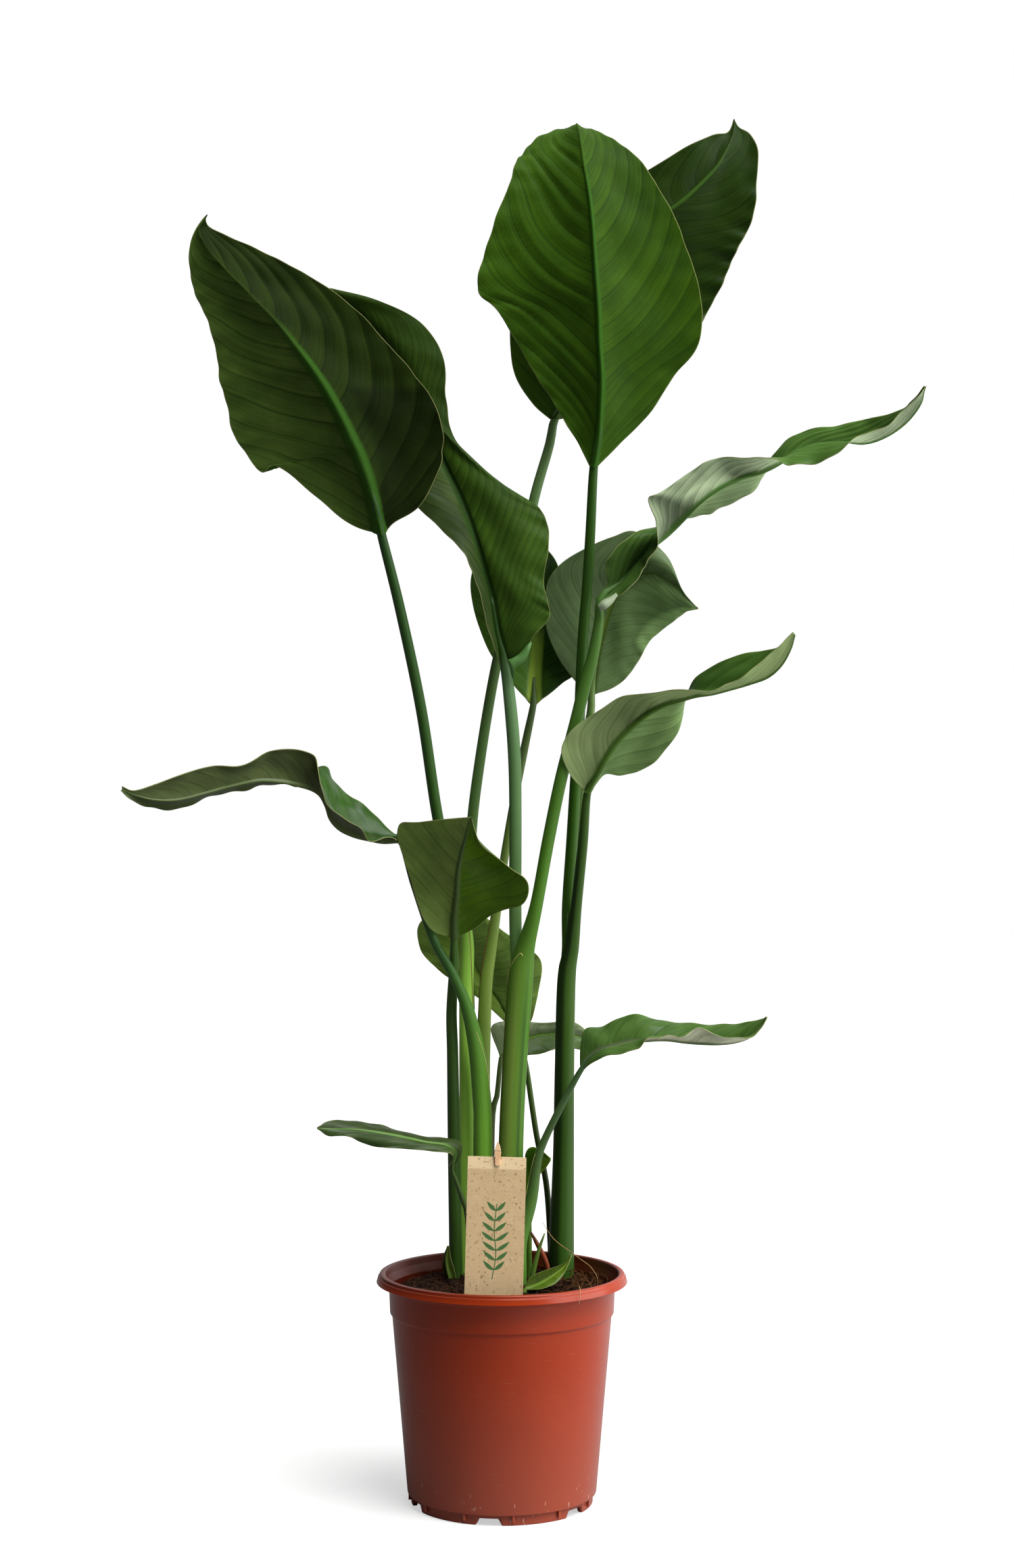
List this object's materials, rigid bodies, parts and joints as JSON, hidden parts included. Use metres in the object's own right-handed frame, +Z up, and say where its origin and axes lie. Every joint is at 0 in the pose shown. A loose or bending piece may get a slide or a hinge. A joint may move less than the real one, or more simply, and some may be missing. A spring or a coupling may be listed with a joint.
{
  "type": "potted bird of paradise plant",
  "caption": "Giant white bird of paradise houseplant: long-stalked paddle leaves rising from a round plastic nursery pot of potting soil, with a blank card tag held by a small wooden peg.",
  "frame": {"origin": "on the floor at the pot's axis, on the flat pad in the middle of the pot's base", "axes": "+Z up along the pot's axis, -Y towards the side with the tag (the front), +X to the right seen from the front"},
  "size_m": [0.7456, 0.24, 1.3461],
  "materials": {
    "leaf": "waxy leaf, glossy dark green above and paler below",
    "young_leaf": "fresh light green leaf tissue",
    "dried_sheath": "dry reddish brown fibre",
    "soil": "matt moist peat and coco fibre",
    "pot": "satin injection-moulded terracotta-coloured polypropylene",
    "card": "matt flecked kraft card",
    "peg_wood": "plain sanded birch",
    "peg_steel": "plain steel wire coil"
  },
  "bodies": {
    "root": {"leaf_left_top": "leaf", "leaf_left_inner": "leaf", "leaf_centre_top": "leaf", "leaf_right_back": "leaf", "leaf_centre_back": "leaf", "leaf_right_long": "leaf", "leaf_right_broad": "leaf", "leaf_right_middle": "leaf", "leaf_front_small": "leaf", "leaf_left_long": "leaf", "leaf_back_middle": "leaf", "leaf_back_low": "leaf", "leaf_right_low": "leaf", "leaf_left_low": "leaf", "leaf_behind_tag": "leaf", "sprout_leaf": "young_leaf", "basal_bract": "young_leaf", "sprout_spear": "young_leaf", "dried_sheath": "dried_sheath", "soil": "soil", "pot": "pot", "tag_card": "card", "peg_front_leg": "peg_wood", "peg_back_leg": "peg_wood", "peg_spring": "peg_steel"}
  },
  "joints": []
}
